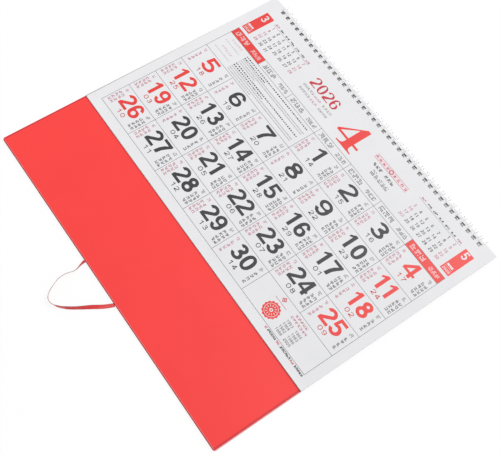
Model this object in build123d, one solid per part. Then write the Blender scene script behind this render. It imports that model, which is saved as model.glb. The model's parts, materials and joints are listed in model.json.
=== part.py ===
from build123d import *
import math
import os

# A wire-bound month calendar for a wall, lying folded as it is stored and sold.
# A stiff board wrapped in red paper is the hanger. It lies on its printed front, with its lined back up.
# The month sheets hang from the board's bound edge on a twin-loop wire, and are folded back over the lining.
# A ribbon leaves the board's other edge as a loop for a nail.
#
# Everything is first built flat, with X across the calendar, Y from the ribbon edge to the bound edge and
# Z up from the underside of the board. It is then laid down as it rests, on the ribbon edge and on the wire.

# Month sheets, a stack of loose leaves that is one solid, in millimetres. The shift is measured from the
# middle of the board.
sheet_width = 371.1
sheet_height = 241.8
sheet_shift = 0.35
leaf_count = 13
leaf_thickness = 0.08

# Board and lining. The board is a little wider than the sheets.
board_overhang = 0.35
board_height = 337.0
board_thickness = 2.0
board_corner_radius = 2.5
board_edge_easing = 0.3
lining_inset = 0.8
lining_corner_cut = 1.0
lining_thickness = 0.15

# Punched holes along the bound edge, three to the inch. The row keeps clear of the corners, and its middle is
# that of the printed grid.
hole_pitch = 25.4 / 3
punch_shift = 0.9
corner_clearance = 18.6
hole_size = 4.4
hole_margin = 3.4

# Twin-loop wire
wire_thickness = 0.9
twin_spacing = 2.4
loop_steps = 12
seam_angle = -120.0
seam_gap = 0.4
turning_gap = 0.25
wire_clearance = 0.1

# Hanging ribbon. Its route is measured from the middle of the board's ribbon edge, and its heights from the floor.
ribbon_core = 1.2
ribbon_route = [
    (23.5, 0.0, 1.0),
    (23.5, -4.8, 0.95),
    (18.9, -10.3, 1.05),
    (13.5, -19.0, 1.3),
    (8.9, -28.0, 1.6),
    (3.2, -37.2, 2.0),
    (-3.8, -45.0, 2.1),
    (-11.8, -49.0, 2.1),
    (-18.7, -45.6, 2.1),
    (-23.5, -37.6, 2.1),
    (-27.3, -29.2, 2.1),
    (-28.1, -20.6, 2.05),
    (-26.0, -12.6, 1.9),
    (-27.1, -5.2, 1.0),
    (-27.1, 0.0, 1.0),
]

# Printed month, as films of ink on the top leaf
ink_thickness = 0.04
column_count = 7
week_count = 5
left_margin = 11.8
right_margin = 10.7
foot_margin = 11.3
heading_height = 58.7
weekday_height = 10.3
rule_width = 0.4
first_weekday = 3
day_count = 30
lead_columns = 3
closing_columns = 2
numeral_height = 17.3
numeral_width = 12.2
lone_numeral_width = 15.2
numeral_stroke = 3.2
numeral_spacing = 1.8
numeral_drop = 2.7
tab_width = 12.6
tab_height = 34.6
tab_gap = 3.8
month_height = 35.6
month_width = 27.0
month_stroke = 6.0
year_height = 13.8
year_width = 9.0
year_stroke = 2.4
year_spacing = 1.8
year_offset = -56.5
year_rise = 21.6

# Worked out from the sizes above
board_width = sheet_width + 2 * board_overhang
sheets_thickness = leaf_count * leaf_thickness
resting_face = board_thickness + lining_thickness
page_top = resting_face + sheets_thickness
page_bottom = board_height - sheet_height
hole_row = board_height - hole_margin - hole_size / 2
hole_count = int((sheet_width - 2 * corner_clearance) / hole_pitch) + 1
hole_places = [punch_shift + (i - (hole_count - 1) / 2) * hole_pitch for i in range(hole_count)]

# The loops are centred just outside the edges of the board and the sheets, level with the face that the
# sheets rest on, so that the sheets turn about the middle of the loops and clear the board all the way.
axis_y = board_height + turning_gap
axis_z = resting_face
bore_radius = math.hypot(hole_margin + turning_gap + wire_clearance, axis_z)
loop_radius = bore_radius + wire_thickness / 2
seam_sweep = math.degrees((wire_thickness + seam_gap) / loop_radius)
loop_sweep = 360.0 - seam_sweep
loop_step = loop_sweep / loop_steps


def loop_point(radius, turn):
    """A point of a loop, on a flat-sided ring whose sides lie at the radius. turn counts back from the seam."""
    corner = radius / math.cos(math.radians(loop_step / 2))
    angle = math.radians(seam_angle - turn)
    return (axis_y + corner * math.cos(angle), axis_z + corner * math.sin(angle))


def loop_side(radius):
    return [loop_point(radius, step * loop_step) for step in range(loop_steps + 1)]


outer_side = loop_side(loop_radius + wire_thickness / 2)
inner_side = loop_side(loop_radius - wire_thickness / 2)

# Laid down, the calendar touches the floor with the ribbon edge and with the lowest corner of the loops.
rest_tilt = max(math.degrees(math.atan2(-z, y)) for y, z in outer_side)


def laid_point(y, z):
    """Where a point of the flat model comes to lie, before the model is centred."""
    turn = math.radians(rest_tilt)
    return (y * math.cos(turn) - z * math.sin(turn), y * math.sin(turn) + z * math.cos(turn))


far_reach = laid_point(0, board_thickness - board_edge_easing)[0]
near_reach = max(laid_point(y, z)[0] for y, z in outer_side)
centring = -(far_reach + near_reach) / 2


def lay_down(shape):
    return shape.rotate(Axis.X, rest_tilt).moved(Location((0, centring, 0)))


def slab(size_x, y_low, y_high, z_low, thickness):
    middle = Location((0, (y_low + y_high) / 2, z_low + thickness / 2))
    return Box(size_x, y_high - y_low, thickness).moved(middle)


def punched(sheet):
    """Cut the row of square holes through a flat piece."""
    depth = 4 * page_top
    punch = Box(hole_size, hole_size, depth)
    punches = [punch.moved(Location((x, hole_row, 0))) for x in hole_places]
    return sheet.cut(*punches)


def make_board():
    board = slab(board_width, 0, board_height, 0, board_thickness)
    board = fillet(board.edges().filter_by(Axis.Z), board_corner_radius)
    faces = board.faces().filter_by(Axis.Z)
    board = chamfer(faces.edges(), board_edge_easing)
    return punched(board)


def make_lining():
    lined_width = board_width - 2 * lining_inset
    lining = slab(lined_width, lining_inset, board_height - lining_inset, board_thickness, lining_thickness)
    lining = chamfer(lining.edges().filter_by(Axis.Z), lining_corner_cut)
    return punched(lining)


def make_sheets():
    sheets = slab(sheet_width, page_bottom, board_height, resting_face, sheets_thickness)
    return punched(sheets.moved(Location((sheet_shift, 0, 0))))


def bar_along_x(outline, x_low, x_high):
    """A straight bar of the wire, its section given in the YZ plane."""
    section = Face(Wire.make_polygon([Vector(x_low, y, z) for y, z in outline], close=True))
    return extrude(section, amount=x_high - x_low, dir=(1, 0, 0))


def square_end(at_seam):
    """The square of wire at one end of a loop: its foot on the spine, or its tip."""
    outer, inner = (outer_side[:2], inner_side[:2]) if at_seam else (outer_side[:-3:-1], inner_side[:-3:-1])
    corners = []
    for end, onward in (outer, inner):
        length = math.dist(end, onward)
        share = wire_thickness / length
        further = tuple(a + (b - a) * share for a, b in zip(end, onward))
        corners.append((end, further))
    (outer_end, outer_further), (inner_end, inner_further) = corners
    return [outer_end, outer_further, inner_further, inner_end]


def make_wire():
    """One wire: at each hole a pair of loops joined at the tip, and from pair to pair a bar of the spine."""
    half = wire_thickness / 2
    loop_outline = outer_side + inner_side[::-1]
    foot = square_end(at_seam=True)
    tip = square_end(at_seam=False)
    pieces = []
    for x in hole_places:
        left = x - twin_spacing / 2
        right = x + twin_spacing / 2
        pieces.append(bar_along_x(loop_outline, left - half, left + half))
        pieces.append(bar_along_x(loop_outline, right - half, right + half))
        pieces.append(bar_along_x(tip, left + half, right - half))
    for x, next_x in zip(hole_places, hole_places[1:]):
        pieces.append(bar_along_x(foot, x + twin_spacing / 2 + half, next_x - twin_spacing / 2 - half))
    return pieces[0].fuse(*pieces[1:])


def make_ribbon():
    """The stand-in for the ribbon: a plain core along its route, with arcs as large as the runs allow."""
    points = [Vector(x, laid_point(0, 0)[0] + centring + y, z) for x, y, z in ribbon_route]
    # The first and last runs leave the board at a right angle to its tilted edge.
    slope = math.tan(math.radians(rest_tilt))
    for end, beside in ((0, 1), (-1, -2)):
        points[end] = Vector(points[end].X, points[end].Y - points[end].Z * slope, points[end].Z)
        run = points[end].Y - points[beside].Y
        points[beside] = Vector(points[beside].X, points[beside].Y, points[end].Z - run * slope)
    radii = []
    for before, here, after in zip(points, points[1:], points[2:]):
        turn = (here - before).get_angle(after - here)
        shorter = min((here - before).length, (after - here).length)
        radii.append(0.45 * shorter / math.tan(math.radians(turn / 2)))
    print("ribbon radii", [round(radius, 1) for radius in radii])
    route = FilletPolyline(*points, radius=radii)
    start = Plane(origin=points[0], x_dir=(1, 0, 0), z_dir=points[1] - points[0])
    core = sweep(start * Rectangle(ribbon_core, ribbon_core), path=route)
    expected = ribbon_core**2 * route.length
    print(f"ribbon route {route.length:.1f} mm, core volume {core.volume:.2f} against {expected:.2f}")
    return core


# The bars of a plain block numeral that are inked, by name
NUMERAL_BARS = {
    "0": ("top", "upper_right", "lower_right", "bottom", "lower_left", "upper_left"),
    "1": ("upper_right", "lower_right"),
    "2": ("top", "upper_right", "middle", "lower_left", "bottom"),
    "3": ("top", "upper_right", "middle", "lower_right", "bottom"),
    "4": ("upper_left", "middle", "upper_right", "lower_right"),
    "5": ("top", "upper_left", "middle", "lower_right", "bottom"),
    "6": ("top", "upper_left", "middle", "lower_left", "lower_right", "bottom"),
    "7": ("top", "upper_right", "lower_right"),
    "8": ("top", "upper_left", "upper_right", "middle", "lower_left", "lower_right", "bottom"),
    "9": ("top", "upper_left", "upper_right", "middle", "lower_right", "bottom"),
}


def numeral(digit, size_x, size_y, stroke):
    """One block numeral, centred, as a flat face."""
    side = (size_x - stroke) / 2
    level = (size_y - stroke) / 2
    upright = (stroke, size_y / 2 + stroke / 2)
    across = (size_x, stroke)
    bars = {
        "top": (0, level, across),
        "middle": (0, 0, across),
        "bottom": (0, -level, across),
        "upper_left": (-side, level / 2, upright),
        "upper_right": (side, level / 2, upright),
        "lower_left": (-side, -level / 2, upright),
        "lower_right": (side, -level / 2, upright),
    }
    inked = [Pos(x, y) * Rectangle(*size) for x, y, size in (bars[name] for name in NUMERAL_BARS[digit])]
    return inked[0].fuse(*inked[1:])


def number(text, centre_x, centre_y, size_x, size_y, stroke, spacing):
    """A row of block numerals printed on the top leaf, each a thin solid."""
    first = centre_x - (len(text) - 1) * (size_x + spacing) / 2
    solids = []
    for place, digit in enumerate(text):
        outline = numeral(digit, size_x, size_y, stroke)
        spot = Pos(first + place * (size_x + spacing), centre_y, page_top)
        solids += extrude(spot * outline, amount=ink_thickness, dir=(0, 0, 1)).solids()
    return solids


# The ruled grid fills the page between its margins, under the heading.
column_width = (sheet_width - left_margin - right_margin) / column_count
week_height = (sheet_height - foot_margin - weekday_height - heading_height) / week_count
grid_left = sheet_shift - sheet_width / 2 + left_margin
grid_middle = grid_left + column_count * column_width / 2
grid_bottom = page_bottom + foot_margin
weekday_bottom = grid_bottom + week_count * week_height
weekday_top = weekday_bottom + weekday_height
header_bottom = weekday_top + tab_gap


def film(x_low, y_low, x_high, y_high):
    """A printed field of flat colour."""
    middle = Location(((x_low + x_high) / 2, (y_low + y_high) / 2, page_top + ink_thickness / 2))
    return Box(x_high - x_low, y_high - y_low, ink_thickness).moved(middle)


def column(index):
    return grid_left + index * column_width


def week(index):
    """The lower line of a week, counted from the top of the month."""
    return weekday_bottom - (index + 1) * week_height


def make_rules():
    """The ruled lines of the month, as one lattice."""
    half = rule_width / 2
    left, right = column(0), column(column_count)
    lines = [film(left - half, y - half, right + half, y + half) for y in (weekday_top, weekday_bottom)]
    for index in range(week_count):
        lines.append(film(left - half, week(index) - half, right + half, week(index) + half))
    for index in range(column_count + 1):
        x = column(index)
        low = week(week_count - 1)
        high = weekday_top
        spans = [(low, high)]
        if 0 < index < lead_columns:
            spans = [(low, week(0)), (weekday_bottom, high)]
        if column_count - closing_columns < index < column_count:
            spans = [(week(week_count - 2), high)]
        lines += [film(x - half, y_low - half, x + half, y_high + half) for y_low, y_high in spans]
    return lines[0].fuse(*lines[1:])


def make_fields():
    """Red fields: the first and last weekday, and the tabs of the months before and after."""
    half = rule_width / 2
    low = weekday_bottom + half
    high = weekday_top - half
    tab_top = header_bottom + tab_height
    left, right = column(0), column(column_count)
    return [
        film(left + half, low, column(1) - half, high),
        film(column(column_count - 1) + half, low, right - half, high),
        film(left, header_bottom, left + tab_width, tab_top),
        film(right - tab_width, header_bottom, right, tab_top),
    ]


def make_numbers(days_off):
    """The days of the month, either those off work or the others."""
    solids = []
    for day in range(1, day_count + 1):
        place = day - 1 + first_weekday
        day_column = place % column_count
        if (day_column in (0, column_count - 1)) != days_off:
            continue
        x = column(day_column) + column_width / 2
        y = week(place // column_count) + week_height - numeral_drop - numeral_height / 2
        size_x = lone_numeral_width if day < 10 else numeral_width
        solids += number(str(day), x, y, size_x, numeral_height, numeral_stroke, numeral_spacing)
    return solids


def make_heading():
    """The month's number in the middle of the heading, and the year beside it."""
    month_y = header_bottom + month_height / 2
    year_y = header_bottom + year_rise + year_height / 2 - year_stroke / 2
    month = number("4", grid_middle, month_y, month_width, month_height, month_stroke, 0)
    year = number("2026", grid_middle + year_offset, year_y, year_width, year_height, year_stroke, year_spacing)
    return month + year


nodes = {
    "hanger_board": lay_down(make_board()),
    "back_lining": lay_down(make_lining()),
    "binding_wire": lay_down(make_wire()),
    "hanging_ribbon": make_ribbon(),
    "month_sheets": lay_down(make_sheets()),
    "printed_rules": lay_down(make_rules()),
    "printed_fields": Compound([lay_down(field) for field in make_fields()]),
    "printed_working_days": Compound([lay_down(digit) for digit in make_numbers(days_off=False)]),
    "printed_days_off": Compound([lay_down(digit) for digit in make_numbers(days_off=True) + make_heading()]),
}

os.makedirs("parts", exist_ok=True)
for name, shape in nodes.items():
    export_step(shape, f"parts/{name}.step")

axis_place = laid_point(axis_y, axis_z)
print(f"loops {2 * bore_radius:.2f} mm inside, laid down at {rest_tilt:.4f} degrees")
print(f"turning axis at y {axis_place[0] + centring:.4f}, z {axis_place[1]:.4f}")
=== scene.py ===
# %% [markdown]
# # A wire-bound wall calendar, folded on a white table
#
# A stiff red board is the hanger. The month sheets are bound to one of its edges with a white twin-loop wire and
# are folded back over it, so the printed month lies face up. A ribbon loop for a nail leaves the other edge.
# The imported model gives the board, the lining, the ruled lines and the red fields. This lesson dresses them, and
# makes the wire, the loose leaves, the ribbon and the rest of the print.

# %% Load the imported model
import json
import math
import random

import bpy
from mathutils import Matrix, Quaternion, Vector


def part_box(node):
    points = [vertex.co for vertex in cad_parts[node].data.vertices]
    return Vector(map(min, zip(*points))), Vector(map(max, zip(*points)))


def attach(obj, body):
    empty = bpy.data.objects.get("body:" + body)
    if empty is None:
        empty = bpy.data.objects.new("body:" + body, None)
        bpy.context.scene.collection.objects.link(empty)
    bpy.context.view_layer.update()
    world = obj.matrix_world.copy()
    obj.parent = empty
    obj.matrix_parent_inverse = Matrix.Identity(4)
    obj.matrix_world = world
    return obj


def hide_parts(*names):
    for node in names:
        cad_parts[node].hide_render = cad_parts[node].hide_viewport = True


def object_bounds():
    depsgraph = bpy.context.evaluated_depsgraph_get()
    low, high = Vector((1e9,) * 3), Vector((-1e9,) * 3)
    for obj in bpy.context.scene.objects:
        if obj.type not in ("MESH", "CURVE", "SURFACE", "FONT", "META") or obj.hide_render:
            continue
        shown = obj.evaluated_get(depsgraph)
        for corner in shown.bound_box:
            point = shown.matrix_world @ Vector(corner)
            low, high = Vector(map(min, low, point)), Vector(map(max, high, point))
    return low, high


MM = 0.001
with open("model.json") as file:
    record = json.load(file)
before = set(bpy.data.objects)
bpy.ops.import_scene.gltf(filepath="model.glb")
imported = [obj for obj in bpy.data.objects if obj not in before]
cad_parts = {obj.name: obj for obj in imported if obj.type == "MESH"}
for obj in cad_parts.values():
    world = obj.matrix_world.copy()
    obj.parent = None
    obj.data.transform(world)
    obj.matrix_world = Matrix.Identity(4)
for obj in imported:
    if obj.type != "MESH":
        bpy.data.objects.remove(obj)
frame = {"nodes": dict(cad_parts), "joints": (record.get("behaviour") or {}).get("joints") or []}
cad_low, cad_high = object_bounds()
nodes = frame["nodes"]
print("loaded", sorted(nodes))

# %% [markdown]
# ## The camera
#
# The month's ruled grid is a perfect ruler, so the camera's place, aim and lens were worked out from its lines. It
# looks down steeply from beyond the lower right corner, a little rolled.

# %% Camera
photo_width_px = 500
focal_length_px = 905
sensor_width_mm = 36
camera_place = Vector((0.28846, -0.30323, 0.79554))
camera_aim = Vector((0.02858, -0.02137, 0.00410))
camera_roll = math.radians(13.26)

bpy.ops.object.camera_add(location=camera_place)
camera = bpy.context.object
camera.data.sensor_width = sensor_width_mm
camera.data.lens = sensor_width_mm * focal_length_px / photo_width_px
camera.rotation_mode = "QUATERNION"
level_view = (camera_aim - camera_place).to_track_quat("-Z", "Y")
camera.rotation_quaternion = level_view @ Quaternion((0, 0, 1), camera_roll)
bpy.context.scene.camera = camera
print(f"camera with a {camera.data.lens:.1f} mm lens, {(camera_aim - camera_place).length:.2f} m away")

# %% [markdown]
# ## Edit mode by hand
#
# Most pieces are shaped as a modeller would by hand: a primitive, then operators in edit mode. An operator acts on
# all that is selected, so each step first selects just what it needs. These helpers start and pick a piece, open and
# close edit mode, turn faces outwards and shade smooth.

# %% Helpers for one piece
merge_distance = 0.002 * MM


def activate(piece):
    """Leave only this piece selected, because an operator acts on all that is."""
    bpy.ops.object.select_all(action="DESELECT")
    piece.select_set(True)
    bpy.context.view_layer.objects.active = piece


def add_object(name, data):
    piece = bpy.data.objects.new(name, data)
    bpy.context.collection.objects.link(piece)
    return piece


def add_primitive(name, operator, **settings):
    """A primitive whose place and turn are put into its mesh, so the object itself stays at the origin."""
    bpy.ops.object.select_all(action="DESELECT")
    operator(**settings)
    piece = bpy.context.object
    piece.name = name
    bpy.ops.object.transform_apply(location=True, rotation=True, scale=True)
    return piece


def begin_edit(mode="EDGE"):
    """Open edit mode with all of the active piece selected."""
    bpy.ops.object.mode_set(mode="EDIT")
    bpy.ops.mesh.select_mode(type=mode)
    bpy.ops.mesh.select_all(action="SELECT")


def end_edit():
    bpy.ops.object.mode_set(mode="OBJECT")


def face_outwards(piece):
    activate(piece)
    begin_edit()
    bpy.ops.mesh.remove_doubles(threshold=merge_distance)
    bpy.ops.mesh.normals_make_consistent(inside=False)
    end_edit()


def smooth(piece, degrees):
    """Shade a piece smooth, but for edges sharper than this."""
    activate(piece)
    bpy.ops.object.shade_smooth_by_angle(angle=math.radians(degrees))


print(f"points closer than {merge_distance / MM} mm are merged")

# %% [markdown]
# ## The hanging ribbon
#
# The real ribbon is a flat satin band whose two ends are glued into the board's edge. It leaves the board lying
# flat, turns on to its edge round the bend, and leans back at the other end.
#
# Its route is one smooth spline, shaped by listed points. A bevelled curve would be round or would twist by
# itself, so the band is made ring by ring at points read from the spline, where the turn of its section is known.

# %% The ribbon's route
ribbon_route_mm = [
    (23.5, 0.0, 1.0),
    (21.5, -4.8, 0.95),
    (18.9, -10.3, 1.05),
    (13.5, -19.0, 1.4),
    (8.9, -28.0, 2.05),
    (3.2, -37.2, 2.15),
    (-3.8, -45.0, 2.1),
    (-11.8, -49.0, 2.1),
    (-18.7, -45.6, 2.1),
    (-23.5, -37.6, 2.1),
    (-27.3, -29.2, 2.1),
    (-27.7, -20.9, 2.05),
    (-25.0, -13.0, 1.95),
    (-28.0, -5.0, 1.85),
    (-29.3, 0.0, 1.0),
]
board_edge_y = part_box("hanger_board")[0].y


def add_spline(curve, kind, points):
    spline = curve.splines.new(kind)
    spline.points.add(len(points) - 1)
    for point, place in zip(spline.points, points):
        point.co = (*place, 1)
    return spline


def route_points(points):
    """Points along the smooth spline that has these control points."""
    curve = bpy.data.curves.new("ribbon_route", "CURVE")
    curve.dimensions = "3D"
    curve.resolution_u = 10
    spline = add_spline(curve, "NURBS", points)
    spline.order_u = 3
    spline.use_endpoint_u = True
    drawn = add_object("ribbon_route", curve)
    bpy.context.view_layer.update()
    line = bpy.data.meshes.new_from_object(drawn)
    found = [vertex.co.copy() for vertex in line.vertices]
    bpy.data.objects.remove(drawn)
    return found


ribbon_control = [Vector((x * MM, board_edge_y + y * MM, z * MM)) for x, y, z in ribbon_route_mm]
ribbon_line = route_points(ribbon_control)
ribbon_lengths = [0.0]
for before, after in zip(ribbon_line, ribbon_line[1:]):
    ribbon_lengths.append(ribbon_lengths[-1] + (after - before).length)
ribbon_length = ribbon_lengths[-1]
print(f"ribbon {ribbon_length / MM:.1f} mm long, {len(ribbon_line)} points")

# %% The ribbon's band
ribbon_width = 4.0 * MM
ribbon_thickness = 0.34 * MM
# How far the band is turned on to its edge, in degrees, at these shares of its length
ribbon_turns = [(0.0, 0), (0.10, 9), (0.18, 29), (0.24, 51), (0.29, 64), (0.36, 68), (0.42, 84), (0.45, 88)]
ribbon_turns += [(0.48, 103), (0.54, 93), (0.60, 78), (0.70, 73), (0.80, 69), (0.88, 66), (0.92, 63)]
ribbon_turns += [(0.945, 55), (0.97, 43), (1.0, 24)]
# The section from one selvedge to the other, as shares of the width and the thickness
band_section = [(-1, 0), (-0.97, 1), (-0.86, 0.7), (0, 0.85), (0.86, 0.7), (0.97, 1)]
band_section += [(1, 0), (0.97, -1), (0.86, -0.7), (0, -0.85), (-0.86, -0.7), (-0.97, -1)]


def along(stations, share):
    """The value between the two stations on each side of a share, eased in and out."""
    for (low, at_low), (high, at_high) in zip(stations, stations[1:]):
        if share <= high:
            part = (share - low) / (high - low)
            eased = part * part * (3 - 2 * part)
            return at_low + (at_high - at_low) * eased
    return stations[-1][1]


def make_band():
    """The ribbon as a mesh, with its place across and along the band in its UV map."""
    up = Vector((0, 0, 1))
    vertices, places = [], []
    for index, centre in enumerate(ribbon_line):
        before = ribbon_line[max(index - 1, 0)]
        after = ribbon_line[min(index + 1, len(ribbon_line) - 1)]
        heading = (after - before).normalized()
        level = heading.cross(up).normalized()
        rise = level.cross(heading)
        turn = math.radians(along(ribbon_turns, ribbon_lengths[index] / ribbon_length))
        across = level * math.cos(turn) + rise * math.sin(turn)
        through = heading.cross(across)
        for side, depth in band_section:
            vertices.append(centre + across * side * ribbon_width / 2 + through * depth * ribbon_thickness / 2)
            places.append((side * ribbon_width / 2, ribbon_lengths[index]))
    corners, rings = len(band_section), len(ribbon_line)
    faces = [tuple(range(corners))[::-1], tuple(range((rings - 1) * corners, rings * corners))]
    for ring in range(rings - 1):
        for corner in range(corners):
            following = (corner + 1) % corners
            near, far = ring * corners, (ring + 1) * corners
            faces.append((near + corner, near + following, far + following, far + corner))
    mesh = bpy.data.meshes.new("hanging_ribbon_band")
    mesh.from_pydata(vertices, [], faces)
    layer = mesh.uv_layers.new(name="band")
    for loop in mesh.loops:
        layer.data[loop.index].uv = places[loop.vertex_index]
    return add_object("hanging_ribbon_band", mesh)


ribbon = make_band()
face_outwards(ribbon)
smooth(ribbon, 50)
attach(ribbon, "hanger")
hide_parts("hanging_ribbon")
print("ribbon band made,", len(ribbon.data.polygons), "faces")

# %% [markdown]
# ## A way to write materials
#
# A material is a small graph of nodes. Written as sums, such as `paper * 0.9 + fibre`, it stays easy to read. The
# class below wraps one output of a node, and its operators add the Math nodes. Every other node comes from one
# method, which takes the node's type, its settings and what goes into its sockets.

# %% Signals and finishes


class Signal:
    """One output of a node in a finish, used like a number."""

    def __init__(self, finish, socket):
        self.finish = finish
        self.socket = socket

    def maths(self, operation, first, second):
        return self.finish.node("ShaderNodeMath", {0: first, 1: second}, operation=operation)

    def __add__(self, other):
        return self.maths("ADD", self, other)

    def __sub__(self, other):
        return self.maths("SUBTRACT", self, other)

    def __rsub__(self, other):
        return self.maths("SUBTRACT", other, self)

    def __mul__(self, other):
        return self.maths("MULTIPLY", self, other)

    def __gt__(self, other):
        return self.maths("GREATER_THAN", self, other)

    def __lt__(self, other):
        return self.maths("LESS_THAN", self, other)

    __radd__ = __add__
    __rmul__ = __mul__


class Finish:
    """A material with a Principled shader, and the nodes that feed it."""

    def __init__(self, name):
        self.material = bpy.data.materials.new(name)
        self.material.use_nodes = True
        self.tree = self.material.node_tree
        self.shader = self.tree.nodes["Principled BSDF"]

    def node(self, kind, inputs, output=0, **settings):
        added = self.tree.nodes.new(kind)
        for name, value in settings.items():
            setattr(added, name, value)
        self.feed(added, inputs)
        return Signal(self, added.outputs[output])

    def feed(self, node, inputs):
        for name, value in inputs.items():
            if isinstance(value, Signal):
                self.tree.links.new(value.socket, node.inputs[name])
            else:
                node.inputs[name].default_value = value

    def shade(self, inputs):
        self.feed(self.shader, inputs)
        return self

    def coat(self, piece):
        """Make this the only material of a piece."""
        piece.data.materials.clear()
        piece.data.materials.append(self.material)

    def coordinates(self, kind):
        return self.node("ShaderNodeTexCoord", {}, kind)

    def axes(self, vector):
        split = self.node("ShaderNodeSeparateXYZ", {0: vector}).socket.node
        return [Signal(self, output) for output in split.outputs]

    def place(self):
        """The place of each point along X, Y and Z."""
        return self.axes(self.coordinates("Object"))

    def facing_up(self):
        """1 where a face looks up, 0 where it stands upright."""
        return self.axes(self.coordinates("Normal"))[2]

    def noise(self, size, detail):
        """Noise whose features are about as large as size, in metres."""
        inputs = {"Vector": self.coordinates("Object"), "Scale": 1 / size, "Detail": detail}
        return self.node("ShaderNodeTexNoise", inputs)

    def size_of(self, value):
        return self.node("ShaderNodeMath", {0: value}, operation="ABSOLUTE")

    def bump(self, height, distance, strength):
        return self.node("ShaderNodeBump", {"Height": height, "Distance": distance, "Strength": strength})

    def blend(self, share, first, second):
        """The first colour where share is 0, and the second where it is 1.

        Blender's Mix node has a set of sockets for each kind of value, so its colour sockets go by number.
        """
        inputs = {0: share, 6: first, 7: second}
        return self.node("ShaderNodeMix", inputs, 2, data_type="RGBA", clamp_factor=True)

    def cover(self, colour, layers):
        """A colour with others laid over it in turn, each where its own share is 1."""
        for share, layer in layers:
            colour = self.blend(share, colour, linear(*layer))
        return colour


def linear(red, green, blue):
    """A colour as a screen shows it, 0 to 255, turned into the light that a shader works with."""
    shares = [value / 255 for value in (red, green, blue)]
    return tuple(v / 12.92 if v <= 0.04045 else ((v + 0.055) / 1.055) ** 2.4 for v in shares) + (1.0,)


# %% [markdown]
# ## Picking, pulling and repeating
#
# The wire and the leaves repeat one pitch forty times. So one pitch is modelled, by picking edges by their place and
# pulling them out, and the Array modifier copies it along the row.

# %% Helpers for shaping


def pick(piece, wanted):
    """In edit mode, select only the vertices whose place is wanted, and the edges between them."""
    bpy.ops.mesh.select_all(action="DESELECT")
    end_edit()
    for vertex in piece.data.vertices:
        vertex.select = wanted(vertex.co)
    for edge in piece.data.edges:
        edge.select = all(piece.data.vertices[index].select for index in edge.vertices)
    bpy.ops.object.mode_set(mode="EDIT")


def pull(shift):
    """Extrude the selected edges and move them by shift."""
    bpy.ops.mesh.extrude_region_move(TRANSFORM_OT_translate={"value": tuple(shift)})


def apply_modifier(piece, kind, **settings):
    activate(piece)
    modifier = piece.modifiers.new(kind, kind)
    for name, value in settings.items():
        setattr(modifier, name, value)
    bpy.ops.object.modifier_apply(modifier=modifier.name)


def repeat(piece, count, pitch):
    """Copy a piece along X with the Array modifier, and join the copies where they touch."""
    apply_modifier(
        piece,
        "ARRAY",
        count=count,
        use_relative_offset=False,
        use_constant_offset=True,
        constant_offset_displace=(pitch, 0, 0),
        use_merge_vertices=True,
        merge_threshold=merge_distance,
    )


# %% [markdown]
# ## Where things are
#
# The folded calendar rests on the ribbon edge of its board and on the wire, so all of it leans by half a degree.
# The hinge gives the middle of the loops, the sheets' top face gives the lean, and the ruled grid gives the place
# of the print. The print is laid out in the grid's own millimetres and is put in place by one matrix.

# %% The hinge, the lean and the grid
hinge = next(joint for joint in frame["joints"] if joint["name"] == "sheets_turn")
hinge_place = Vector(hinge["pos_m"])
sheet_faces = nodes["month_sheets"].data.polygons
upward = max((face for face in sheet_faces if face.normal.z > 0.9), key=lambda face: face.area).normal
lean = math.atan2(-upward.y, upward.z)
lean_matrix = Matrix.Rotation(lean, 4, "X")


def flat_points(name):
    """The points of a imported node, turned so that the board is level."""
    return [lean_matrix.inverted() @ vertex.co for vertex in nodes[name].data.vertices]


def span(points, axis):
    """The lowest and the highest place of these points along an axis."""
    places = [point[axis] for point in points]
    return min(places), max(places)


rule_width = 0.4 * MM
rule_points = flat_points("printed_rules")
grid_left = span(rule_points, 0)[0] + rule_width / 2
grid_right = span(rule_points, 0)[1] - rule_width / 2
grid_foot = span(rule_points, 1)[0] + rule_width / 2
page_face = span(rule_points, 2)[0]
column_count, week_count = 7, 5
column_width = (grid_right - grid_left) / column_count / MM
week_height = 32.3
strip_foot = week_count * week_height
page_matrix = lean_matrix @ Matrix.Translation((grid_left, grid_foot, page_face))

sheet_points = flat_points("month_sheets")
sheet_left, sheet_right = span(sheet_points, 0)
sheet_foot, sheet_head = span(sheet_points, 1)
print(f"lean {math.degrees(lean):.3f} degrees, a day's cell {column_width:.2f} by {week_height} mm")

# %% [markdown]
# ## The twin-loop wire
#
# Twin-loop wire is one wire. At each hole it leaves its straight spine, goes round through the hole, turns back on
# itself at a round tip, and comes back beside the first loop. Then it runs along the spine to the next hole.
#
# A bevelled curve would give long and tight bends the same number of rings. So one pitch is made from a small
# circle, the wire's section. Spin carries it round a corner, the loop and the tip, back again, and round the last
# corner. The newest ring stays selected, so each spin starts where the last one ended. Last, the loops of the whole
# wire are pressed a little flat on their outer side, because the photograph shows little of them past the edge.

# %% Wire sizes
hole_count = 40
hole_pitch = 25.4 / 3 * MM
wire_radius = 0.45 * MM
loop_radius = 4.77 * MM
twin_spacing = 2.4 * MM
corner_radius = 0.8 * MM
# The spine lies under the board, and the tips of the loops stop just short of it
spine_angle = math.radians(-120)
loop_turn = math.radians(338)
outer_flatness = 0.72
print(f"{hole_count} holes, {hole_pitch / MM:.3f} mm apart")

# %% One pitch of the wire
spine_out = Vector((0, math.cos(spine_angle), math.sin(spine_angle)))
spine_along = Vector((0, math.sin(spine_angle), -math.cos(spine_angle)))
tip_angle = spine_angle - loop_turn
tip_out = Vector((0, math.cos(tip_angle), math.sin(tip_angle)))
across = Vector((1, 0, 0))
first_x = (grid_left + grid_right) / 2 - (hole_count - 1) / 2 * hole_pitch
middle = Vector((first_x, hinge_place.y, hinge_place.z))
foot = middle + spine_out * loop_radius
tip = middle + tip_out * loop_radius
bar_length = (hole_pitch - twin_spacing) / 2 - corner_radius
bar_start = foot - across * hole_pitch / 2 - spine_along * corner_radius


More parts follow.
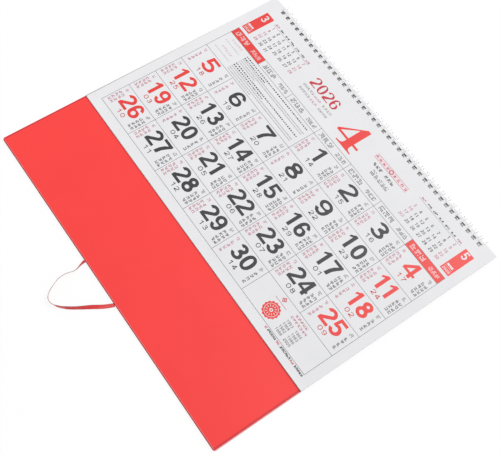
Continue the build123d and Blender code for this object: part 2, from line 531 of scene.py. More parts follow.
def spin(turn, steps, centre, axis):
    bpy.ops.mesh.spin(steps=steps, angle=turn, center=centre, axis=axis)


wire = add_primitive(
    "twin_loop_wire",
    bpy.ops.mesh.primitive_circle_add,
    vertices=8,
    radius=wire_radius,
    location=bar_start,
    rotation=(0, math.pi / 2, 0),
)
begin_edit()
pull(across * bar_length)
spin(math.pi / 2, 3, foot - across * (twin_spacing / 2 + corner_radius), spine_out)
spin(-loop_turn, 24, middle, across)
spin(-math.pi, 6, tip, tip_out)
spin(loop_turn, 24, middle, across)
spin(math.pi / 2, 3, foot + across * (twin_spacing / 2 + corner_radius), spine_out)
pull(across * bar_length)
end_edit()
print("one pitch of wire,", len(wire.data.polygons), "faces")

# %% The whole wire
repeat(wire, hole_count, hole_pitch)
begin_edit()
bpy.ops.mesh.fill_holes(sides=8)
end_edit()
face_outwards(wire)
for vertex in wire.data.vertices:
    vertex.co.y -= max(vertex.co.y - hinge_place.y, 0) * (1 - outer_flatness)
smooth(wire, 60)
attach(wire, "hanger")
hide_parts("binding_wire")
print("wire with", hole_count, "pairs of loops,", len(wire.data.polygons), "faces")

# %% [markdown]
# ## The month sheets
#
# Thirteen leaves of coated paper lie loose on the wire. Seen close, their edges don't line up exactly and their
# free corners lift a little.
#
# Holes cut by a Boolean would leave long thin faces that don't bend well. So one leaf starts as a plane one pitch
# square. An inset leaves a square in its middle, which is deleted: a punched hole. The row of holes is repeated from
# it. Its edges are then extruded to the sides, up to the bound edge and down to the foot in steps, so that the foot
# can curl, and Solidify gives the paper its thickness.

# %% Sheet sizes
leaf_count = 13
leaf_thickness = 0.08 * MM
hole_size = 4.4 * MM
hole_margin = 3.4 * MM
hole_row = sheet_head - hole_margin - hole_size / 2
side_steps = (0.3, 0.4, 0.3)
leaf_steps_mm = [40, 40, 40, 40, 30, 15, 8, 5, 4, 3, 2.5]
print(f"{leaf_count} leaves, {leaf_count * leaf_thickness / MM:.2f} mm in all")

# %% One leaf, flat
row_place = (first_x, hole_row, 0)
leaf = add_primitive("month_leaves", bpy.ops.mesh.primitive_plane_add, size=hole_pitch, location=row_place)
begin_edit("FACE")
bpy.ops.mesh.inset(thickness=(hole_pitch - hole_size) / 2)
bpy.ops.mesh.delete(type="FACE")
end_edit()
repeat(leaf, hole_count, hole_pitch)


def leaf_span(axis):
    return span([vertex.co for vertex in leaf.data.vertices], axis)


def stretch_edge(axis, low_side, shift):
    """Extrude the leaf's edge at its lowest or highest place on an axis, and move it by shift."""
    edge = leaf_span(axis)[0 if low_side else 1]
    activate(leaf)
    begin_edit()
    pick(leaf, lambda co: abs(co[axis] - edge) < 0.01 * MM)
    pull(shift)
    end_edit()


row_left, row_right = leaf_span(0)
for share in side_steps:
    stretch_edge(axis=0, low_side=False, shift=((sheet_right - row_right) * share, 0, 0))
    stretch_edge(axis=0, low_side=True, shift=((sheet_left - row_left) * share, 0, 0))
stretch_edge(axis=1, low_side=False, shift=(0, hole_margin - (hole_pitch - hole_size) / 2, 0))
leaf_scale = (leaf_span(1)[0] - sheet_foot) / sum(leaf_steps_mm)
for step in leaf_steps_mm:
    stretch_edge(axis=1, low_side=True, shift=(0, -step * leaf_scale, 0))
apply_modifier(leaf, "SOLIDIFY", thickness=leaf_thickness, offset=0)
print("one leaf,", len(leaf.data.polygons), "faces")

# %% [markdown]
# Each leaf is then copied to its height in the pile, and shifted by a few tenths of a millimetre. The shifts and
# the lift of the corners are random numbers with a fixed seed, so every run gives the same pile. The lift stays in
# the foot margin, below the print, and the lowest leaf lies on the board.

# %% The pile of leaves
leaf_shifts = random.Random(13)
most_shift_mm, most_drop_mm = 0.25, 0.35
foot_margin = 9.0 * MM
most_lift = 0.5 * MM
right_corner_share = 0.7


def lift(co, share, lean_to):
    """How far a point of the foot margin rises, for a leaf at this share of the pile's height."""
    down = max(sheet_foot + foot_margin - co.y, 0) / foot_margin
    side = co.x / sheet_right
    corner = 0.35 + 0.65 * max(side * lean_to, 0) ** 3
    return most_lift * share * corner * down * down


leaves = []
for index in range(leaf_count):
    copy = add_object("month_leaf", leaf.data.copy())
    share = (index + 0.5) / leaf_count
    top_leaf = index == leaf_count - 1
    shift_x = 0 if top_leaf else leaf_shifts.uniform(-most_shift_mm, most_shift_mm) * MM
    shift_y = 0 if top_leaf else leaf_shifts.uniform(-most_drop_mm, most_shift_mm) * MM
    lean_to = 1 if leaf_shifts.random() < right_corner_share or top_leaf else -1
    height = page_face - (leaf_count - index - 0.5) * leaf_thickness
    for vertex in copy.data.vertices:
        rise = lift(vertex.co, share, lean_to)
        vertex.co += Vector((shift_x, shift_y, height + rise))
    leaves.append(copy)
bpy.data.objects.remove(leaf)
activate(leaves[0])
for copy in leaves:
    copy.select_set(True)
bpy.ops.object.join()
sheets = bpy.context.object
sheets.name = "month_leaves"
sheets.data.transform(lean_matrix)
smooth(sheets, 30)
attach(sheets, "sheets")
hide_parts("month_sheets")
print("pile of", leaf_count, "leaves,", len(sheets.data.polygons), "faces")

# %% [markdown]
# ## The printer's outlines
#
# Print is a film of ink on the top leaf: closed outlines in a flat curve, which Blender fills. An outline inside
# another one is a hole, such as the eye of a 6. The curve gets a little thickness, becomes a mesh and is laid on
# the page. All print is generic: numbers, plain marks and fields of colour.
#
# The numerals are drawn from arcs, so that one set of rules serves bold and fine numbers: w and h are a digit's
# width and height, and s and t are how thick its upright and level strokes are.

# %% Arcs and bars


def arc(centre, radii, start, end, steps, fullness=1.0):
    """Points round an ellipse, from one angle to the other. A lower fullness makes it squarer."""
    points = []
    for step in range(steps + 1):
        angle = math.radians(start + (end - start) * step / steps)
        x, y = math.cos(angle), math.sin(angle)
        x = math.copysign(abs(x) ** fullness, x)
        y = math.copysign(abs(y) ** fullness, y)
        points.append((centre[0] + radii[0] * x, centre[1] + radii[1] * y))
    return points


def ring(centre, radii, steps, fullness=1.0):
    return arc(centre, radii, 0, 360, steps, fullness)[:-1]


def bar(x_low, y_low, x_high, y_high):
    return [(x_low, y_low), (x_high, y_low), (x_high, y_high), (x_low, y_high)]


# %% Numerals


def zero(w, h, s, t):
    middle = (w / 2, h / 2)
    return [ring(middle, middle, 24, 0.88), ring(middle, (w / 2 - s, h / 2 - t), 20, 0.9)]


def one(w, h, s, t):
    r = min(w * 0.68, w / 2 + s)
    tip = 0.1 * w
    flag = [(r, 0), (r, h), (r - 0.8 * s, h), (0.5 * (r - s + tip), 0.86 * h), (tip, 0.80 * h), (tip, 0.65 * h)]
    return [flag + [(r - s, 0.77 * h), (r - s, 0)]]


def two(w, h, s, t):
    bowl = (w / 2, 0.71 * h)
    outer = arc(bowl, (w / 2, 0.29 * h), -38, 172, 12)
    inner = arc(bowl, (w / 2 - s, 0.29 * h - t), 172, -38, 10)
    return [[(0, 0), (w, 0), (w, t), (0.36 * w, t)] + outer + inner + [(0, 0.2 * h)]]


def three(w, h, s, t):
    upper, lower = (w / 2, 0.745 * h), (w / 2, 0.29 * h)
    outer = arc(upper, (0.44 * w, 0.255 * h), 165, -35, 11) + arc(lower, (w / 2, 0.29 * h), 50, -165, 12)
    back = arc(lower, (w / 2 - s, 0.29 * h - t), -165, 80, 10) + [(0.36 * w, 0.58 * h - t)]
    back += [(0.36 * w, 0.58 * h)] + arc(upper, (0.44 * w - s, 0.255 * h - t), -80, 165, 9)
    return [outer + back]


def four(w, h, s, t):
    stem, low, level = 0.58 * w, 0.20 * h, 0.15 * h
    right = stem + s
    body = [(stem, 0), (right, 0), (right, low), (w, low), (w, low + level), (right, low + level), (right, h)]
    body += [(stem - 0.1 * s, h), (0, low + level * 1.15), (0, low), (stem, low)]
    eye = [(stem, low + level), (stem, 0.72 * h), (0.24 * w, low + level)]
    return [body, eye]


def five(w, h, s, t):
    bowl = (0.48 * w, 0.33 * h)
    head = [(0.14 * w, h), (0.93 * w, h), (0.93 * w, h - t), (0.36 * w, h - t), (0.31 * w, 0.63 * h)]
    outer = arc(bowl, (0.52 * w, 0.33 * h), 115, -162, 14)
    inner = arc(bowl, (0.52 * w - s, 0.33 * h - t), -162, 128, 12)
    return [head[::-1] + [(0.05 * w, 0.46 * h)] + inner[::-1] + outer[::-1]]


def six(w, h, s, t):
    bowl = (w / 2, 0.32 * h)
    middle = (w / 2, h / 2)
    outer = arc(middle, middle, 28, 180, 10, 0.92)
    outer += arc(bowl, (w / 2, 0.32 * h), 188, 452, 16)[:-2]
    arm = arc(middle, (w / 2 - s, h / 2 - t), 150, 38, 7, 0.95)
    return [outer + [(s, 0.58 * h)] + arm, ring(bowl, (w / 2 - s, 0.32 * h - t), 16)]


def seven(w, h, s, t):
    left = [(0, h), (0, h - t), (0.68 * w, h - t), (0.47 * w, 0.62 * h), (0.33 * w, 0.36 * h), (0.26 * w, 0)]
    edge = 0.26 * w + 1.05 * s
    return [left + [(edge, 0), (edge + 0.07 * w, 0.34 * h), (edge + 0.22 * w, 0.6 * h), (w, h - 0.75 * t), (w, h)]]


def eight(w, h, s, t):
    upper, lower = (w / 2, 0.745 * h), (w / 2, 0.29 * h)
    outer = arc(upper, (0.44 * w, 0.255 * h), -38, 218, 14) + arc(lower, (w / 2, 0.29 * h), 132, 408, 16)
    eyes = [ring(upper, (0.44 * w - s, 0.255 * h - t), 14), ring(lower, (w / 2 - s, 0.29 * h - t), 14)]
    return [outer] + eyes


def nine(w, h, s, t):
    """A six turned half round in its box."""
    return [[(w - x, h - y) for x, y in outline] for outline in six(w, h, s, t)]


NUMERALS = [zero, one, two, three, four, five, six, seven, eight, nine]


def number(text, centre_x, foot_y, style):
    """A number's outlines, with its middle at centre_x. The style holds w, h, s, t and the pitch of the digits."""
    w, h, s, t, pitch = style
    outlines = []
    for place, digit in enumerate(text):
        left = centre_x + (place - (len(text) - 1) / 2) * pitch - w / 2
        for outline in NUMERALS[int(digit)](w, h, s, t):
            outlines.append([(left + x, foot_y + y) for x, y in outline])
    return outlines


print(len(NUMERALS), "numerals")

# %% [markdown]
# Ink lies in the tooth of the paper, so its colour is a little uneven. Each ink has its colour where it lies full
# and where it lies thin, and the name of a slot, which is not used.

# %% Inks
film_thickness = 0.04


def mix_ink(name, full, thin, slot):
    finish = Finish(name)
    tooth = finish.noise(0.5 * MM, 4)
    cloud = finish.noise(14 * MM, 2)
    share = (tooth - 0.5) * 1.1 + (cloud - 0.5) * 0.5 + 0.35
    colour = finish.blend(share, linear(*full), linear(*thin))
    return finish.shade({"Base Color": colour, "Roughness": tooth * 0.2 + 0.36}), slot


dark = mix_ink("dark_ink", (46, 46, 50), (70, 70, 74), "dark_ink")
red = mix_ink("red_ink", (226, 48, 46), (238, 78, 70), "red_ink")
crimson = mix_ink("crimson_ink", (190, 40, 56), (206, 66, 78), "red_ink")
rose = mix_ink("rose_ink", (180, 98, 118), (200, 134, 150), "red_ink")
pink = mix_ink("pink_strip_ink", (228, 212, 217), (224, 204, 210), "red_ink")
white = mix_ink("white_ink", (228, 230, 232), (226, 212, 210), "white_sheet_paper")
grey = mix_ink("grey_ink", (92, 92, 96), (120, 120, 124), "grey_ink")
pale = mix_ink("pale_grey_ink", (150, 148, 150), (176, 174, 176), "grey_ink")
grey[0].coat(nodes["printed_rules"])
red[0].coat(nodes["printed_fields"])


def ink(name, outlines, mixed, base=0.0):
    """A film of ink with these outlines, in the grid's millimetres, laid on the page above base."""
    curve = bpy.data.curves.new(name, "CURVE")
    curve.dimensions = "2D"
    curve.fill_mode = "BOTH"
    curve.extrude = film_thickness / 2
    for outline in outlines:
        add_spline(curve, "POLY", [(x, y, 0) for x, y in outline]).use_cyclic_u = True
    activate(add_object(name, curve))
    bpy.ops.object.convert(target="MESH")
    film = bpy.context.object
    film.name = name
    raised = Matrix.Translation((0, 0, base + film_thickness / 2))
    for matrix in (raised, Matrix.Scale(MM, 4), page_matrix):
        film.data.transform(matrix)
    finish, slot = mixed
    finish.coat(film)
    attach(film, "sheets")
    return film


print(f"8 inks, in films {film_thickness} mm thick")

# %% [markdown]
# ## The days of the month
#
# Every day has its number in bold, and under it the day by the moon in fine numbers. Sundays and Saturdays are red.
# The month starts on the fourth weekday. A month by the moon ends on the 16th.

# %% Where each day stands
first_weekday, day_count = 3, 30
red_weekdays = (0, 6)
moon_end, moon_days = 16, 29


def cell(day):
    """The left line and the lower line of a day's cell."""
    place = day - 1 + first_weekday
    return (place % column_count) * column_width, (week_count - 1 - place // column_count) * week_height


def moon_day(day):
    """The day by the moon, in two figures."""
    since = day - moon_end
    return f"{since if since > 0 else since + moon_days:02d}"


print("the first day's cell stands at", [round(place, 1) for place in cell(1)])

# %% Numbers of the days
day_height, day_stroke, day_level_stroke = 18.2, 3.85, 3.1
day_drop, day_shift = 2.25, -0.35
# A lone digit is wider than one of a pair, and a 1 draws its neighbour closer
lone_width, pair_width = 15.9, 12.7
pair_pitch, teen_pitch, eleven_pitch, teen_shift = 13.9, 13.3, 12.4, 0.3
moon_foot, moon_style = 4.9, (4.6, 5.0, 0.75, 0.6, 6.2)


def day_outlines(days):
    outlines = []
    for day in days:
        left, foot_line = cell(day)
        foot_y = foot_line + week_height - day_drop - day_height
        width = lone_width if day < 10 else pair_width
        pitch, x = pair_pitch, left + column_width / 2 + day_shift
        if 10 < day < 20:
            pitch, x = eleven_pitch if day == 11 else teen_pitch, x + teen_shift
        outlines += number(str(day), x, foot_y, (width, day_height, day_stroke, day_level_stroke, pitch))
    return outlines


def moon_outlines(days):
    outlines = []
    for day in days:
        left, foot_line = cell(day)
        outlines += number(moon_day(day), left + column_width / 2, foot_line + moon_foot, moon_style)
    return outlines


days = range(1, day_count + 1)
days_off = [day for day in days if (day - 1 + first_weekday) % column_count in red_weekdays]
working_days = [day for day in days if day not in days_off]
dark_days = ink("days_in_dark_ink", day_outlines(working_days), dark)
red_days = ink("days_in_red_ink", day_outlines(days_off), red)
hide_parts("printed_working_days")
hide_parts("printed_days_off")
ink("moon_days_in_dark_ink", moon_outlines(working_days), dark)
ink("moon_days_in_red_ink", moon_outlines(days_off), crimson)
print("days printed,", len(dark_days.data.polygons) + len(red_days.data.polygons), "faces")

# %% [markdown]
# ## Small print
#
# The real page is full of small writing. None of it is copied. A written sign becomes a check: a block of small
# squares in rows, with a few left out. A line of fine writing becomes a row of dashes. So the page keeps its greys
# and reds without saying anything. The squares are chosen with a fixed seed.

# %% Checks and dashes
mark_choice = random.Random(4)
bold, fine = 0.41, 0.34
# The outlines of the small print, gathered by ink
dark_print, rose_print, pale_print, crimson_print, white_print = [], [], [], [], []


def mark(x, y, size, width=None, share=bold, rows=3):
    """A check of small squares with its middle at x, y. The share says how full the squares are."""
    step_x, step_y = (width or size) / rows, size / rows
    half_x, half_y = step_x * share, step_y * share
    left_out = mark_choice.sample(range(rows * rows), rows * rows // 4)
    squares = []
    for place in range(rows * rows):
        if place in left_out:
            continue
        middle_x = x + (place % rows - (rows - 1) / 2) * step_x
        middle_y = y + (place // rows - (rows - 1) / 2) * step_y
        squares.append(bar(middle_x - half_x, middle_y - half_y, middle_x + half_x, middle_y + half_y))
    return squares


def mark_rows(spans, y, size, pitch, share=bold):
    """A row of checks from the low to the high end of each span."""
    outlines = []
    for x_low, x_high in spans:
        for place in range(max(round((x_high - x_low - size) / pitch) + 1, 1)):
            outlines += mark(x_low + size / 2 + place * pitch, y, size, share=share)
    return outlines


def dashes(x_low, x_high, y, height, gap):
    """A row of dashes of uneven length."""
    outlines = []
    x = x_low
    while x < x_high - height:
        length = min(mark_choice.uniform(0.6, 1.5) * height, x_high - x)
        outlines.append(bar(x, y - height / 2, x + length, y + height / 2))
        x += length + gap * mark_choice.uniform(0.7, 1.4)
    return outlines


def tell(part):
    print(f"{part}: {len(dark_print)} dark outlines, {len(rose_print)} rose and {len(pale_print)} pale so far")


tell("small print")

# %% Checks beside each day
narrow_days = (5, 6, 8, 18, 20, 25, 30)
left_block, right_block = 5.4, 44.2
block_foot, block_pitch, head_drop = 6.9, 4.5, 5.0


def beside_day(day, x_middle):
    """The block of checks at one side of a day's number."""
    left, foot_line = cell(day)
    outlines = []
    columns = (0.3,) if day in narrow_days else (-2.1, 2.1)
    for column in columns:
        for row in range(4):
            y = foot_line + block_foot + row * block_pitch
            outlines += mark(left + x_middle + column, y, 3.3, 3.2, share=0.38)
    return outlines


for day in days:
    left, foot_line = cell(day)
    head_y = foot_line + week_height - head_drop
    rose_print += beside_day(day, left_block) + mark(left + left_block, head_y, 3.4, share=fine)
    dark_print += beside_day(day, right_block)
    pale_print += mark(left + 44.4, head_y, 4.0)
tell("beside the days")

# %% Weekdays
for column in range(column_count):
    left = column * column_width
    row = []
    for place in range(3):
        row += mark(left + 7.0 + place * 7.1, strip_foot + 5.3, 5.8, share=fine, rows=4)
        row += mark(left + 34.0 + place * 4.9, strip_foot + 4.9, 4.8, 4.2, fine, 4)
    outlines = white_print if column in red_weekdays else dark_print
    outlines += row
tell("weekdays")

# %% [markdown]
# ## The heading
#
# The heading holds the month's number and the year in red, a small calendar of the month before at the left and of
# the month after at the right, each beside a red tab, and some small print. All places are in the grid's own
# millimetres, from its lower left corner, as read from the photograph.

# %% Small calendars
small_style, shared_style = (2.2, 3.6, 0.58, 0.5, 2.75), (1.3, 3.6, 0.34, 0.42, 1.7)
small_drop = 1.75


def small_calendar(columns, head_y, line_y, rows, first_column, days):
    """A month in small numbers. A day past the last row stands beside the one above it, both smaller."""
    for place, x in enumerate(columns):
        outlines = rose_print if place in red_weekdays else dark_print
        outlines += mark(x, head_y, 2.2, 6.2)
    dark_print.append(bar(columns[0] - 4.5, line_y - 0.12, columns[-1] + 4.4, line_y + 0.12))
    last_row = len(rows) - 1
    for day in range(1, days + 1):
        row, place = divmod(day - 1 + first_column, column_count)
        outlines = rose_print if place in red_weekdays else dark_print
        x, style = columns[place], small_style
        if row > last_row or (row == last_row and day + column_count <= days):
            x, style = x + (1.9 if row > last_row else -1.9), shared_style
        outlines += number(str(day), x, rows[min(row, last_row)] - small_drop, style)


before_columns = (21.1, 29.9, 39.0, 48.0, 57.0, 66.3, 75.5)
after_columns = (271.5, 280.5, 289.5, 298.75, 308.0, 317.25, 326.5)
small_calendar(before_columns, 208.9, 206.6, (203.0, 197.2, 191.0, 185.2, 179.2), first_column=0, days=31)
small_calendar(after_columns, 209.8, 207.3, (203.6, 197.8, 191.6, 185.4, 179.6), first_column=5, days=31)
tell("small calendars")

# %% Tabs of the months before and after
tab_year_style = (2.0, 3.0, 0.5, 0.45, 2.5)
white_print += number("3", 5.7, 197.9, (6.0, 9.8, 1.7, 1.5, 0)) + number("5", 341.9, 199.3, (5.7, 9.8, 1.7, 1.5, 0))
for left, y in ((1.2, 184.0), (337.6, 184.4)):
    white_print += dashes(left, left + 9.0, y, 2.2, 0.5)
white_print += [bar(0.8, 181.3, 11.4, 181.6), bar(337.0, 181.7, 347.4, 182.0)]
white_print += number("2026", 6.1, 177.0, tab_year_style) + number("2026", 342.2, 177.2, tab_year_style)
print("tabs:", len(white_print), "white outlines so far")

# %% The month's number and the year


def month_four():
    """A large upright 4 with thick stem, thin bars and a foot, as old book types have."""
    stem_left, stem_right, foot_y, head_y = 173.8, 182.9, 176.7, 211.8
    tip_x, bar_low, bar_high, bar_right = 157.3, 185.6, 188.2, 190.4
    foot_left, foot_right, foot_top = 166.6, 189.3, 178.4
    body = [(foot_left, foot_y), (foot_right, foot_y), (foot_right, foot_top - 0.4)]
    body += arc((186.6, 182.0), (3.7, 3.6), 270, 180, 5)
    body += [(stem_right, bar_low), (bar_right, bar_low), (bar_right, bar_high), (stem_right, bar_high)]
    body += [(stem_right, head_y), (178.6, head_y), (tip_x, bar_high), (tip_x, bar_low), (stem_left, bar_low)]
    body += arc((169.9, 182.0), (3.9, 3.6), 0, -90, 5) + [(foot_left, foot_top - 0.4)]
    eye = [(160.9, bar_high), (stem_left, 204.4), (stem_left, bar_high)]
    return [body, eye]


month_number = ink("month_number", month_four(), red)
year_number = ink("year_number", number("2026", 117.8, 194.5, (9.5, 13.2, 2.6, 1.1, 10.8)), crimson)
print("month and year,", len(month_number.data.polygons) + len(year_number.data.polygons), "faces")

# %% Small print of the heading
ink("pink_strip", [bar(204.6, 197.9, 254.6, 204.1)], pink)
ink("pink_strip_edges", [bar(204.6, y, 254.6, y + 0.35) for y in (197.9, 203.75)], rose, film_thickness)
on_strip = mark_rows([(205.2, 225), (233.8, 254)], 200.9, 2.9, 5.8)
on_strip += [ring((229.3, 201.0), (2.7, 2.7), 16), ring((229.3, 201.0), (1.7, 1.7), 12)]
ink("strip_print", on_strip, crimson, film_thickness)
for y in (189.4, 183.2):
    pale_print += mark_rows([(95.0, 112.5), (128.0, 142.0)], y, 3.0, 3.7)
    rose_print += mark_rows([(114.0, 126.0)], y, 3.0, 3.7, fine)
dark_print += mark_rows([(210.8, 225), (229, 244)], 192.7, 3.6, 4.6)
dark_print += mark(219.5, 185.0, 6.4, 5.4, fine, 4)
for x in (225.4, 230.6, 235.8, 240.8):
    dark_print += mark(x, 184.2, 5.0, 4.2, fine, 4)
tell("heading")

# %% Small print of the first week
for y in (157.0, 143.2):
    rose_print += mark_rows([(9.5, 27.5)], y, 2.8, 3.6, 0.25)
    pale_print += dashes(5.5, 31.0, y - 6.0, 0.8, 1.0)
for x_high, y in ((144.8, 157.3), (73.5, 154.0), (144.8, 143.1), (88.5, 140.0)):
    dark_print += dashes(36.0, x_high, y, 1.35, 1.1)
for x_high, y in ((144.8, 151.6), (144.8, 149.0), (65.0, 146.3), (144.8, 137.3), (144.8, 134.6), (77.0, 131.9)):
    pale_print += dashes(36.0, x_high, y, 1.0, 0.5)
tell("first week")

# %% Round seal in the last week
seal_centre = Vector((281.4, 11.4))
lobe_count, petal_count = 14, 12
petal = [(2.9, 0), (4.0, 0.3), (5.2, 0.38), (5.7, 0), (5.2, -0.38), (4.0, -0.3)]
lobed_edge = []
for step in range(lobe_count * 6):
    angle = 2 * math.pi * step / (lobe_count * 6)
    reach = 8.9 + 0.5 * math.cos(lobe_count * angle)
    lobed_edge.append((seal_centre.x + reach * math.cos(angle), seal_centre.y + reach * math.sin(angle)))
seal = [lobed_edge, ring(seal_centre, (7.1, 7.1), 36), ring(seal_centre, (6.6, 6.6), 36)]
for step in range(petal_count):
    angle = 2 * math.pi * step / petal_count
    away = Vector((math.cos(angle), math.sin(angle)))
    side = Vector((-away.y, away.x))
    seal.append([tuple(seal_centre + away * out + side * off) for out, off in petal])
seal += [ring(seal_centre, (1.9, 1.9), 14), ring(seal_centre, (0.9, 0.9), 10)]
ink("small_print_red", seal, red)
crimson_print += [ring((280.4, 27.9), (reach, reach), 4) for reach in (2.9, 1.8, 1.0)]
print("seal with", petal_count, "petals")

# %% Small print of the last week
foot_style = (1.8, 3.0, 0.38, 0.34, 2.4)
rose_print.append(bar(272.5, 23.1, 289.2, 23.6))
rose_print += mark_rows([(299.0, 318.0)], 28.3, 2.8, 3.6) + mark_rows([(297.0, 320.0)], 23.7, 2.6, 3.4)
foot_numbers = random.Random(26)
for row, y in enumerate((18.1, 13.7, 9.3, 4.9)):
    for column, x in enumerate((302.1, 315.2)):
        year_text = str(1950 + 12 * (row + 4 * column // 3) + foot_numbers.randint(0, 9))
        dark_print += number(year_text, x, y - 1.5, foot_style)
dark_print += mark_rows([(294.8, 307.5), (314.5, 329.4), (336.4, 348.4)], -2.2, 2.3, 2.5, 0.46)
crimson_print += mark(292.2, -2.2, 2.6) + mark_rows([(308.2, 313.6), (330.2, 335.6)], -2.2, 2.4, 2.5)
tell("last week")

# %% The rest of the small print as ink
ink("small_print_dark", dark_print, dark)
ink("small_print_crimson", crimson_print, crimson)
ink("small_print_rose", rose_print, rose)
ink("small_print_pale", pale_print, pale)
ink("small_print_white", white_print, white, film_thickness)
print("ink laid on the page")

# %% [markdown]
# ## Red covered board
#
# The board is wrapped in red paper with a satin film: almost even, with a soft mottling where the glue took and a
# fine tooth. Its colour is painted a little darker towards the right, as shade. Its side walls are painted dark as
# shade, less so at the ribbon edge; its rim along the ribbon edge is painted darker as shade, and its rim at the
# right is painted lighter as a highlight. The lining is a sheet of the same paper, glued inside the wrapped edge.
# Its cut edge is pale, and a painted highlight runs beside it along the ribbon edge. At the sides a strip of the
# lining is painted darker, as the shade of the step.

# %% Finish of the red board
board_low, board_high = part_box("hanger_board")
lining_low, lining_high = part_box("back_lining")


def red_paper(name):
    """A finish of red paper, its colour, and what else goes into its shader."""
    finish = Finish(name)
    mottle = finish.noise(45 * MM, 3)
    tooth = finish.noise(0.45 * MM, 4)
    streak = finish.noise(12 * MM, 2)
    # The colour grows a little darker towards the right: painted shade
    share = (mottle - 0.5) * 0.5 + (tooth - 0.5) * 0.25 + finish.place()[0] * 1.2 + 0.3
    colour = finish.blend(share, linear(255, 62, 59), linear(238, 48, 48))
    inputs = {"Roughness": mottle * 0.10 + tooth * 0.08 + 0.36}
    inputs["Normal"] = finish.bump(tooth * 0.35 + streak * 0.65, 0.05 * MM, 0.5)
    return finish, colour, inputs


board, colour, inputs = red_paper("red_wrapped_board")
across_x, along_y, _ = board.place()
sideways = board.facing_up() < 0.5
# The band that holds the punched holes
band_low, band_high, band_end = board_high.y - 9 * MM, board_high.y - 2 * MM, board_high.x - 5 * MM
punched = (along_y > band_low) * (along_y < band_high) * (board.size_of(across_x) < band_end)
# Painted shade and highlight: the rim along the ribbon edge and the walls are darker, the right rim lighter
layers = [
    (along_y < lining_low.y, (180, 38, 50)),  # the rim along the ribbon edge, painted darker as shade
    (across_x > lining_high.x, (250, 124, 122)),  # the rim at the right, painted lighter as a highlight
    (sideways, (96, 8, 18)),  # the side walls, painted dark as shade
    (sideways * (along_y < board_low.y + MM), (214, 20, 32)),  # the wall at the ribbon edge, painted less dark than the other walls
    (sideways * punched, (150, 145, 141)),  # the grey core, in the holes
]
inputs["Base Color"] = board.cover(colour, layers)
board.shade(inputs).coat(nodes["hanger_board"])
print("board dressed in", len(layers) + 1, "colours")

# %% Finish of the lining
lining, colour, inputs = red_paper("red_lining_paper")
across_x, along_y, _ = lining.place()
shade_strip_width = 2.4 * MM
layers = [
    (across_x < lining_low.x + 1.0 * MM, (186, 44, 58)),  # painted shade: a dark strip at the left
    ((across_x - (lining_high.x - shade_strip_width)) * (1 / shade_strip_width), (178, 24, 40)),  # painted shade: a strip at the right, darker towards the edge
    ((along_y < lining_low.y + 0.35 * MM) + (lining.facing_up() < 0.5), (246, 142, 138)),  # pale: the cut edge itself, and beside it on top along the ribbon edge a painted highlight
]
inputs["Base Color"] = lining.cover(colour, layers)
lining.shade(inputs).coat(nodes["back_lining"])
print("lining dressed in", len(layers) + 1, "colours")

# %% [markdown]
# ## Paper, wire and ribbon
#
# The leaves are white coated paper: almost even, with a faint cloudiness and a fine tooth. Their colour is painted a
# little darker towards the right and towards the wire, as shade, and a thin line of painted shade runs along the
# left edge, strongest towards the foot. The wire has a white plastic coat. The ribbon is red satin, whose threads
# run across it and catch the light in fine lines, with a firm selvedge at each edge. Its narrow sides are painted
# dark, as shade.

# %% Finish of the paper
paper = Finish("white_sheet_paper")
cloud = paper.noise(25 * MM, 3)
tooth = paper.noise(0.35 * MM, 4)
across_x, along_y, _ = paper.place()
# The page is painted a little darker towards the right and towards the wire: painted shade
share = (cloud - 0.5) * 0.3 + (tooth - 0.5) * 0.2 + across_x + along_y * 0.9 + 0.5
colour = paper.blend(share, linear(240, 240, 242), linear(216, 216, 218))
page_low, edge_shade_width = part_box("month_sheets")[0], 0.6 * MM
# A thin line of painted shade along the left edge, strongest at the foot and fading out towards the head
painted_edge_shade = (across_x < page_low.x + edge_shade_width) * (0.95 - (along_y - page_low.y) * 5.0)
inputs = {
    "Base Color": paper.cover(colour, [(painted_edge_shade, (96, 72, 80))]),
    "Roughness": tooth * 0.15 + 0.48,
    "Normal": paper.bump(tooth, 0.02 * MM, 0.3),
}
paper.shade(inputs).coat(sheets)
print("paper soiled", edge_shade_width / MM, "mm wide")

# %% Finish of the wire
plastic = Finish("white_wire")
dimple = plastic.noise(1.2 * MM, 2)
# A faint glow keeps the plastic coat as white as the table
inputs = {
    "Base Color": plastic.blend(dimple, linear(254, 254, 254), linear(246, 246, 248)),
    "Roughness": dimple * 0.15 + 0.22,
    "Normal": plastic.bump(dimple, 0.02 * MM, 0.4),
    "Emission Color": (1, 1, 1, 1),
    "Emission Strength": 0.14,
}
plastic.shade(inputs).coat(wire)
print("wire dressed, glowing at", inputs["Emission Strength"])

# %% Finish of the ribbon
thread_pitch = 0.25 * MM
selvedge_start, narrow_side_start = 0.42 * ribbon_width, 0.487 * ribbon_width
satin = Finish("red_ribbon")
side, run, _ = satin.axes(satin.node("ShaderNodeUVMap", {}, uv_map="band"))
from_middle = satin.size_of(side)
crossing = run * (2 * math.pi / thread_pitch)
threads = satin.node("ShaderNodeMath", {0: crossing}, operation="SINE") * 0.5 + 0.5
uneven = satin.noise(3 * MM, 3)
colour = satin.blend(threads * 0.6 + uneven * 0.4, linear(206, 22, 30), linear(244, 74, 74))
# The selvedge is darker near each edge, and the narrow sides are painted dark as shade
layers = [
    ((from_middle > selvedge_start) * 0.45, (130, 10, 22)),
    (from_middle > narrow_side_start, (92, 8, 18)),
]
inputs = {
    "Base Color": satin.cover(colour, layers),
    "Roughness": uneven * 0.15 + 0.3,
    "Normal": satin.bump(threads, 0.06 * MM, 0.6),
}
satin.shade(inputs).coat(ribbon)
print(f"ribbon dressed, with {ribbon_length / thread_pitch:.0f} threads across it")

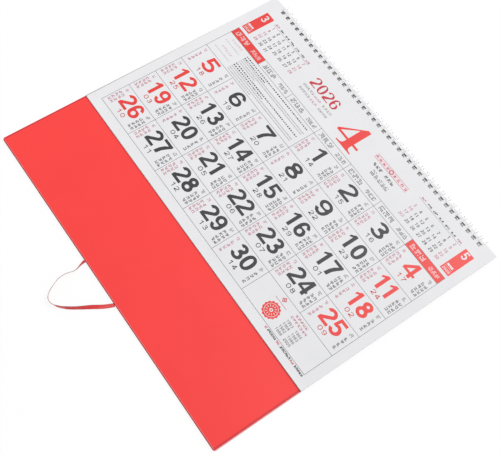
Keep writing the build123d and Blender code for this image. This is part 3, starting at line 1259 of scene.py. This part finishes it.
# %% [markdown]
# ## The table and the light
#
# The photograph is a product picture on pure white. The table's own colour gives that white, and it keeps the
# calendar's soft shadow: to the camera most of it glows at a strength of 1, and the rest is a white that takes
# light. It doesn't glow under the board, so the punched holes stay dark. A large soft lamp stands behind, so the
# board's near side lies in shade.

# %% Table
table_drop = 0.5 * MM
under_rim = 1.2 * MM
glow_share = 0.9
table = add_primitive("table_top", bpy.ops.mesh.primitive_plane_add, size=6, location=(0, 0, -table_drop))

tabletop = Finish("white_table")
camera_ray, glossy_ray, passing_ray = [
    tabletop.node("ShaderNodeLightPath", {}, f"Is {ray} Ray") for ray in ("Camera", "Glossy", "Transmission")
]
place_x, place_y, _ = tabletop.place()
beside = (tabletop.size_of(place_x) > cad_high.x - under_rim) + (place_y > board_high.y)
beside = beside + (place_y < board_low.y + under_rim)
beside = tabletop.node("ShaderNodeMath", {0: beside, 1: 1.0}, operation="MINIMUM")
seen = (camera_ray + glossy_ray + passing_ray) * beside
glow = tabletop.node("ShaderNodeEmission", {"Color": (1, 1, 1, 1), "Strength": 1.0})
tabletop.shade({"Base Color": (1, 1, 1, 1), "Roughness": 0.7, "Specular IOR Level": 0.0}).coat(table)
lit = Signal(tabletop, tabletop.shader.outputs[0])
surface = tabletop.node("ShaderNodeMixShader", {0: seen * glow_share, 1: lit, 2: glow})
tabletop.feed(tabletop.tree.nodes["Material Output"], {"Surface": surface})
print(f"table {table_drop / MM} mm below the calendar")

# %% World and lamp
room_light, lamp_power, lamp_size = 0.60, 45.5, 1.4
lamp_place = Vector((0.3, 1.7, 2.2))

world = bpy.data.worlds.new("soft_white_room")
bpy.context.scene.world = world
world.use_nodes = True
background = world.node_tree.nodes["Background"]
background.inputs["Color"].default_value = (1, 1, 1, 1)
background.inputs["Strength"].default_value = room_light

bpy.ops.object.light_add(type="AREA", location=lamp_place)
lamp = bpy.context.object
lamp.name = "window_lamp"
lamp.data.shape = "DISK"
lamp.data.size = lamp_size
lamp.data.energy = lamp_power
lamp.rotation_euler = (-lamp_place).to_track_quat("-Z", "Y").to_euler()
bpy.context.scene.view_settings.view_transform = "Standard"
print(f"lamp {lamp_place.length:.2f} m away, {lamp_power} W")
